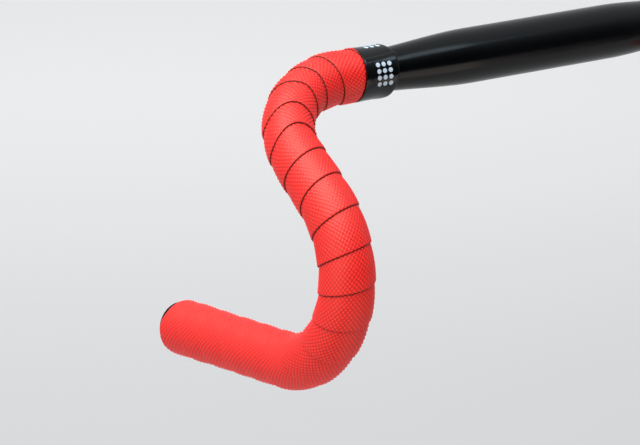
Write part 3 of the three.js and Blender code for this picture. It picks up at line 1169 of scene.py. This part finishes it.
class WindingTree(Graph):
    """Geometry Nodes that wind an embossed strip round a guide line.

    The outer face is a grid with a column for each step round the bar and rows from a turn's proud edge
    to the seam above it, so the last row of one turn meets the first row of the turn above. A second
    grid is the cut end, the inner wall and the fold over the tube's end.
    """

    INPUTS = {
        "Seams": "Object", "Columns": "Int", "Turn Columns": "Int", "Rows": "Int", "Row Step": "Float",
        "Emboss Height": "Float", "Lap Rise": "Float", "Slot Depth": "Float", "Slot Half": "Float",
        "Edge Round": "Float", "Side": "Float", "Flip": "Bool", "Finish": "Material",
    }
    NO_LIMIT = 20 * MM
    ALMOST_ALL = 0.999
    EDGE_ARC = math.radians(45)
    # How strongly painted shade darkens a seam, and how much the embossing's peaks lessen it.
    SEAM_DARKEST = 1.05
    RELIEF_LIGHTENS = 0.5
    WHOLE_CELLS = 64
    MERGED_WITHIN = 0.01 * MM

    def __init__(self, tape: BarTape) -> None:
        """Builds the tree for a tape.

        Args:
            tape: gives the sizes that aren't inputs.
        """
        super().__init__(bpy.data.node_groups.new("tape_winding", "GeometryNodeTree"))
        self.tape = tape
        self.names = {}
        face = self.tree.interface
        face.new_socket(name="Geometry", in_out="INPUT", socket_type="NodeSocketGeometry")
        for name, kind in self.INPUTS.items():
            made = face.new_socket(name=name, in_out="INPUT", socket_type=f"NodeSocket{kind}")
            self.names[name] = made.identifier
        face.new_socket(name="Geometry", in_out="OUTPUT", socket_type="NodeSocketGeometry")
        self.given = self.node("NodeGroupInput")
        self.line = self.node("GeometryNodeMeshToCurve", None, {0: self.given.outputs["Geometry"]}).outputs[0]
        self.finish(self.outer(), self.inner())

    def input(self, name: str) -> Value:
        """One of the tree's named inputs."""
        return Value(self, self.given.outputs[name])

    def sample(self, distance: Value, name: str) -> tuple[Value, Value, Value]:
        """Samples the guide line.

        Args:
            distance: distance along it.
            name: the attribute to read there.

        Returns:
            The attribute, the position and the tangent.
        """
        vectors = {"data_type": "FLOAT_VECTOR"}
        named = self.value("GeometryNodeInputNamedAttribute", 0, vectors, {"Name": name})
        sockets = {"Curves": self.line, "Value": named, "Length": distance}
        made = self.node("GeometryNodeSampleCurve", {"mode": "LENGTH", **vectors}, sockets)
        return tuple(Value(self, made.outputs[key]) for key in ("Value", "Position", "Tangent"))

    def outwards(self, distance: Value, angle: Value) -> tuple[Value, Value]:
        """The direction away from the centreline, and the centreline's point.

        Args:
            distance: distance along the bar.
            angle: angle round the bar.

        Returns:
            The unit direction and the point.
        """
        side, point, tangent = self.sample(distance, "side")
        across = self.vector("CROSS_PRODUCT", tangent, side)
        return side * self.cosine(angle) + across * self.math("SINE", angle), point

    def seam(self, column: Value) -> Value:
        """Distance of the seam at a column.

        Args:
            column: a step of the winding.

        Returns:
            Its distance along the bar.
        """
        table = self.value("GeometryNodeObjectInfo", "Geometry", None, {"Object": self.input("Seams")})
        place = self.value("GeometryNodeInputPosition", 0)
        sockets = {"Geometry": table, "Value": place, "Index": column}
        return self.part(self.value("GeometryNodeSampleIndex", 0, {"data_type": "FLOAT_VECTOR"}, sockets), 0)

    def top(self, angle: Value) -> Value:
        """Distance of the tape's cut end, which runs along the edge of the finishing tape.

        Args:
            angle: angle round the bar.

        Returns:
            Its distance along the bar.
        """
        sleeve = self.tape.sleeve
        swing = self.cosine(angle, sleeve.bar_edge_turn) * sleeve.bar_edge_swing
        return sleeve.bar_edge + self.tape.cut_back - swing

    def red_edge(self, angle: Value) -> Value:
        """Distance where the tape comes out from under the finishing tape."""
        sleeve = self.tape.sleeve
        return sleeve.red_edge - self.cosine(angle, sleeve.red_edge_turn) * sleeve.red_edge_swing

    def bulge(self, angle: Value) -> Value:
        """How far the fold at the bar's end bulges out at an angle, with the slack on one side."""
        slack = self.smooth(self.cosine(angle, self.tape.end_bulge_turn), *self.tape.end_bulge_side)
        return slack * self.tape.end_bulge

    def limit(self, distance: Value, angle: Value, levels: Value) -> Value:
        """The largest radius that the finishing tape and the folded end leave free.

        Args:
            distance: distance along the bar.
            angle: angle round the bar.
            levels: the guide's levels there.

        Returns:
            The radius.
        """
        tape = self.tape
        sleeve = tape.sleeve
        share = (distance - sleeve.squeezed_from) / (sleeve.squeezed_to - sleeve.squeezed_from)
        spread = sleeve.squeezed_thickness - sleeve.cut_end_thickness
        squeezed = self.part(levels, 0) + sleeve.cut_end_thickness + share * spread
        past = distance - self.red_edge(angle)
        swell = self.math("SQRT", self.smooth(past, 0.0, tape.swell_length)) * tape.swell_height
        swell = swell + (past > tape.swell_length) * self.NO_LIMIT
        bulge = self.bulge(angle)
        left = self.most((bulge + tape.end - distance) / tape.end_round_length, 0.0)
        curved = 1 - self.least(left, 1.0)
        fold = self.math("SQRT", 1 - curved * curved) * tape.end_round
        fold = fold + (left > self.ALMOST_ALL) * self.NO_LIMIT
        return self.least(squeezed + swell, tape.end_radius + bulge * tape.end_bulge_lift + fold)

    def pyramid(self, column: Value, row: Value) -> Value:
        """Height of the embossing from 0 to 1 at a column and a row of a turn.

        Args:
            column: a step round the bar.
            row: a row of the lattice.

        Returns:
            1 on a diamond's peak and 0 in the valleys round it.
        """
        steps = self.tape.cell_steps
        slopes = [self.math("ABSOLUTE", self.math("FRACT", diagonal / steps + self.WHOLE_CELLS) - 0.5)
                  for diagonal in (column + row, column - row)]
        return 1 - 2 * self.most(*slopes)

    def is_row(self, row: Value, number: Number) -> Value:
        """One on a row and nought on the others."""
        return (row > number - 0.5) * (row < number + 0.5)

    def placed(self, mesh: Any, distance: Value, angle: Value, radius: Value) -> Value:
        """Moves a grid's points to a distance, an angle and a radius.

        Args:
            mesh: the grid.
            distance: distance along the bar.
            angle: angle round the bar.
            radius: distance from the centreline.

        Returns:
            The moved grid.
        """
        direction, point = self.outwards(distance, angle)
        place = point + direction * radius
        return self.value("GeometryNodeSetPosition", 0, None, {"Geometry": mesh, "Position": place})

    def stored(self, mesh: Value, name: str, number: Value) -> Value:
        """Stores a number on a mesh's points."""
        sockets = {"Geometry": mesh, "Name": name, "Value": number}
        return self.value("GeometryNodeStoreNamedAttribute", 0, {"data_type": "FLOAT"}, sockets)

    def grid(self, columns: Any, rows: Any) -> tuple[Value, Value, Value]:
        """Makes a grid.

        Args:
            columns: how many columns it has.
            rows: how many rows each column has.

        Returns:
            The mesh, and the column and row of each point.
        """
        mesh = self.value("GeometryNodeMeshGrid", "Mesh", None, {"Vertices X": columns, "Vertices Y": rows})
        index = self.value("GeometryNodeInputIndex", 0)
        column = self.math("FLOOR", (index + 0.5) / rows)
        return mesh, column, index - column * rows

    def outer(self) -> Value:
        """The outer face of every turn.

        Returns:
            The mesh, with its relief attribute and its seam attribute, which marks where painted shade
            darkens the seams.
        """
        tape = self.tape
        turn_columns = self.input("Turn Columns")
        rows = self.input("Rows")
        slot = self.input("Slot Half")
        edge = self.input("Edge Round")
        mesh, column, row = self.grid(self.input("Columns"), rows)
        angle = column * TURN / turn_columns
        upper = self.seam(column)
        lower = self.seam(column + turn_columns)
        middle = (upper + lower) * 0.5
        stretch = self.stretch(middle, angle)
        width = (lower - upper) * stretch
        is_foot = self.is_row(row, Row.FOOT)
        is_edge = self.is_row(row, Row.EDGE)
        is_arc = self.is_row(row, Row.ARC)
        is_last = row > rows - 1.5
        lattice_row = row - Row.ARC.value
        across = (self.least(row, 1.0) * slot + is_arc * edge * (1 - math.cos(self.EDGE_ARC))
                  + (row > Row.ARC + 0.5) * lattice_row * self.input("Row Step"))
        is_embossed = (across < width - slot) * (row > Row.EDGE + 0.5)
        across = self.choose(is_last, self.least(across, width - slot), width)
        distance = lower - across / stretch
        top = self.top(angle)
        hidden = distance < self.red_edge(angle) - tape.hidden_margin
        distance = self.choose(hidden, distance, top)
        distance = self.least(self.most(distance, top), self.bulge(angle) + tape.end)
        levels = self.sample(distance, "levels")[0]
        foot = self.part(levels, 1)
        share = self.most(across / width, 0.0)
        rise = self.input("Lap Rise") * (1 - share**tape.lap_power)
        relief = self.pyramid(column, lattice_row) * is_embossed
        body = (foot + rise - edge * is_edge - is_arc * edge * (1 - math.sin(self.EDGE_ARC))
                + (relief - 0.5) * is_embossed * self.input("Emboss Height"))
        in_slot = self.most(is_foot, is_last) * (1 - hidden)
        radius = self.choose(in_slot, body, foot - self.input("Slot Depth"))
        radius = self.least(radius, self.limit(distance, angle, levels))
        mesh = self.placed(mesh, distance, angle, radius)
        # The seam attribute is painted shade: strongest at each seam, fading over a short width and on the
        # embossing's peaks.
        from_seam = self.least(across, width - across) / tape.seam_shade
        mesh = self.stored(mesh, "relief", relief)
        shade = self.SEAM_DARKEST - from_seam - relief * self.RELIEF_LIGHTENS
        return self.creased(self.stored(mesh, "seam", self.most(shade, 0.0)), rows)

    def stretch(self, distance: Value, angle: Value) -> Value:
        """How much longer the tape's face is than the centreline, on one side of a bend.

        Args:
            distance: distance along the bar.
            angle: angle round the bar.

        Returns:
            The face's length for each length of the centreline.
        """
        bend = self.sample(distance, "bend")[0]
        direction = self.outwards(distance, angle)[0]
        radius = self.bar.grip_radius + self.tape.thickness + self.tape.lap_rise / 2
        return 1 - self.vector("DOT_PRODUCT", direction, bend) * radius

    def creased(self, mesh: Value, rows: Value) -> Value:
        """Splits the outer face's quads so that edges run along the embossing's ridges and valleys.

        Args:
            mesh: the outer face.
            rows: how many rows of points each column has.

        Returns:
            The mesh of triangles.
        """
        index = self.value("GeometryNodeInputIndex", 0)
        column = self.math("FLOOR", (index + 0.5) / (rows - 1))
        row = index - column * (rows - 1) - Row.ARC.value
        crossing = self.math("FRACT", (column + row + 1) / self.tape.cell_steps + self.WHOLE_CELLS)
        sockets = {"Mesh": mesh, "Selection": crossing < 0.5 / self.tape.cell_steps}
        split = self.value("GeometryNodeTriangulate", 0, {"quad_method": "FIXED_ALTERNATE"}, sockets)
        return self.value("GeometryNodeTriangulate", 0, {"quad_method": "FIXED"}, {"Mesh": split})

    def inner(self) -> Value:
        """The cut end, the inner wall and the fold over the tube's end.

        Returns:
            The mesh.
        """
        tape = self.tape
        last = tape.inner_rows - 1
        mesh, column, row = self.grid(self.input("Turn Columns") + 1, tape.inner_rows)
        angle = column * TURN / self.input("Turn Columns")
        top = self.top(angle)
        wall_end = self.bar.length + tape.gap
        share = self.least(self.most((row - 1) / (last - 4), 0.0), 1.0)
        distance = self.choose(row > last - 1.5, top + (wall_end - top) * share,
                               tape.end + self.bulge(angle) * (row > last - 0.5))
        levels = self.sample(distance, "levels")[0]
        wall = self.part(levels, 0) + tape.gap
        in_bore = (row > last - 2.5) * (row < last - 0.5)
        at_ends = self.most(row < 0.5, row > last - 0.5)
        radius = self.choose(in_bore, wall, self.bar.bore)
        radius = self.choose(at_ends, radius, self.limit(distance, angle, levels))
        return self.placed(mesh, distance, angle, radius)

    @property
    def bar(self) -> Bar:
        """The bar that the tape is wound on."""
        return self.tape.bar

    def finish(self, *meshes: Value) -> None:
        """Joins the grids into one closed skin, turns it to its half and gives it its finish.

        Args:
            meshes: the grids.
        """
        joined = self.node("GeometryNodeJoinGeometry")
        for mesh in meshes:
            self.tree.links.new(mesh.socket, joined.inputs[0])
        sockets = {0: joined.outputs[0], "Distance": self.MERGED_WITHIN}
        merged = self.value("GeometryNodeMergeByDistance", 0, None, sockets)
        flip = {"Mesh": merged, "Selection": self.input("Flip")}
        turned_out = self.value("GeometryNodeFlipFaces", 0, None, flip)
        place = self.value("GeometryNodeInputPosition", 0)
        moved = self.vector("MULTIPLY", place, self.join(self.input("Side"), 1.0, 1.0))
        placed = self.value("GeometryNodeSetPosition", 0, None, {"Geometry": turned_out, "Position": moved})
        smooth = self.value("GeometryNodeSetShadeSmooth", 0, None, {0: placed})
        real = self.value("GeometryNodeRealizeInstances", 0, None, {0: smooth})
        dressed = self.value("GeometryNodeSetMaterial", 0, None, {0: real, "Material": self.input("Finish")})
        self.node("NodeGroupOutput", None, {0: dressed})


@dataclass(frozen=True)
class Lamp:
    """A soft rectangular lamp."""

    name: str
    place: tuple
    size: tuple
    watts: float
    colour: Colour


@dataclass
class Studio:
    """Pale floor that runs on behind with painted shade near the front, a room dark in front, and the camera
    of the view.
    """

    floor_height: float = -0.75
    floor_behind: float = 7.0
    floor_half: float = 7.0
    floor_ahead: float = 0.55
    # The near colour is painted shade: the floor darkens towards the front.
    floor_near: Colour = (0.585, 0.575, 0.575)
    floor_far: Colour = (0.91, 0.885, 0.875)
    floor_near_at: float = 0.8
    floor_far_at: float = 2.4
    floor_roughness: float = 0.9
    ahead: tuple = (0.505, 0.863)
    front_strength: float = 0.005
    back_strength: float = 0.77
    room_blend: tuple = (-0.95, 0.0)
    room_colour: Colour = (0.93, 0.975, 1.0)
    aim: tuple = (0.15, 0.02, -0.07)
    lamps: tuple = (
        Lamp("overhead", (0.58, 0.14, 1.45), (2.0, 1.7), 48.5, (0.97, 0.985, 1.0)),
        Lamp("fill", (2.0, 1.0, 0.2), (1.6, 1.4), 11.0, (1.0, 0.95, 0.9)),
        Lamp("front", (0.0, 2.3, -1.2), (3.0, 1.7), 25.0, (1.0, 0.89, 0.82)),
        Lamp("window", (-0.55, 0.7, 1.45), (0.36, 0.6), 2.4, (0.62, 0.85, 1.0)),
    )
    backdrop_lamp: Lamp = Lamp("backdrop", (-1.5, -2.8, 0.9), (3.6, 2.6), 5.0, (1.0, 1.0, 1.0))
    backdrop_spread: float = math.radians(100)
    camera_place: tuple = (0.93934, 1.3556, 0.4956)
    camera_look: tuple = (-0.47424, -0.80948, -0.34618)
    camera_roll: float = math.radians(0.204)
    lens: float = 166.26
    sensor: float = 36.0

    def camera(self) -> None:
        """Adds the camera and makes it the scene's own."""
        data = bpy.data.cameras.new("view")
        data.lens = self.lens
        data.sensor_width = self.sensor
        data.sensor_fit = "HORIZONTAL"
        look = Vector(self.camera_look).normalized()
        level = look.cross(Vector((0, 0, 1))).normalized()
        upright = level.cross(look)
        right = level * math.cos(self.camera_roll) + upright * math.sin(self.camera_roll)
        columns = Matrix((right, right.cross(look), -look)).transposed().to_4x4()
        camera = bpy.data.objects.new("view", data)
        camera.matrix_world = Matrix.Translation(self.camera_place) @ columns
        bpy.context.scene.collection.objects.link(camera)
        bpy.context.scene.camera = camera

    def floor(self) -> None:
        """Adds the floor, with painted shade darkening its front, which ends a little ahead of the bar."""
        graph = ShaderGraph("floor_pale")
        behind = 0 - graph.vector("DOT_PRODUCT", graph.place(), (*self.ahead, 0.0))
        # Painted shade: the floor darkens from its far colour to its near colour towards the front.
        share = graph.smooth(behind, self.floor_near_at, self.floor_far_at)
        colour = graph.blend(share, self.floor_near, self.floor_far)
        material = graph.finish(Base_Color=colour, Roughness=self.floor_roughness)
        forward = np.array([*self.ahead, 0.0])
        sideways = np.array([-forward[1], forward[0], 0.0])
        middle = np.array([0.0, 0.0, self.floor_height])
        corners = np.array([middle + forward * ahead + sideways * beside for ahead, beside in
                            ((-self.floor_behind, self.floor_half), (-self.floor_behind, -self.floor_half),
                             (self.floor_ahead, -self.floor_half), (self.floor_ahead, self.floor_half))])
        floor = new_piece("floor", corners, [(0, 1, 2, 3)], material)

    def light(self, lamp: Lamp, aim: tuple, spread: float = math.pi) -> None:
        """Hangs a lamp.

        Args:
            lamp: which lamp.
            aim: the point that it faces.
            spread: the angle that its light spreads through.
        """
        data = bpy.data.lights.new(lamp.name, "AREA")
        data.spread = spread
        data.shape = "RECTANGLE"
        data.size, data.size_y = lamp.size
        data.energy = lamp.watts
        data.color = lamp.colour
        made = bpy.data.objects.new(lamp.name, data)
        made.location = lamp.place
        made.rotation_euler = (Vector(aim) - Vector(lamp.place)).to_track_quat("-Z", "Y").to_euler()
        bpy.context.scene.collection.objects.link(made)

    def room(self) -> None:
        """Makes the room bright behind the bar and overhead, and dark ahead of it."""
        world = bpy.data.worlds.new("room")
        world.use_nodes = True
        graph = Graph(world.node_tree)
        graph.tree.nodes.clear()
        direction = graph.value("ShaderNodeTexCoord", "Generated")
        behind = 0 - graph.part(direction, 1)
        strength = self.front_strength + graph.smooth(behind, *self.room_blend) * self.back_strength
        background = graph.node("ShaderNodeBackground", None,
                                {"Color": (*self.room_colour, 1.0), "Strength": strength})
        graph.node("ShaderNodeOutputWorld", None, {"Surface": background.outputs[0]})
        bpy.context.scene.world = world

    def build(self) -> None:
        """Sets the studio up."""
        bpy.context.scene.view_settings.view_transform = "Standard"
        self.camera()
        self.floor()
        self.room()
        for lamp in self.lamps:
            self.light(lamp, self.aim)
        below = (*self.backdrop_lamp.place[:2], self.floor_height)
        self.light(self.backdrop_lamp, below, self.backdrop_spread)


def main() -> None:
    """Builds every piece in order and places it on the frame."""
    logging.basicConfig(level=logging.INFO, format="%(name)s %(message)s")
    studio = Studio()
    studio.build()
    bar = Bar()
    Tube(bar).build()
    sleeve = FinishingTape(bar)
    tape = BarTape(bar, sleeve)
    foam = tape.finish.material()
    for side in Side:
        wound = tape.build(side, foam)
        settle(wound, f"{side.word}_bar_tape")
    for right, node, slot in (
        (sleeve.build(), "finishing_tape", "finishing_tape"),
        (EndPlug(bar).build(), "end_plug", "end_plug"),
    ):
        left = mirror_piece(right, right.name.replace("right", "left"))
        settle(right, f"right_{node}")
        settle(left, f"left_{node}")


if __name__ == "__main__":
    main()
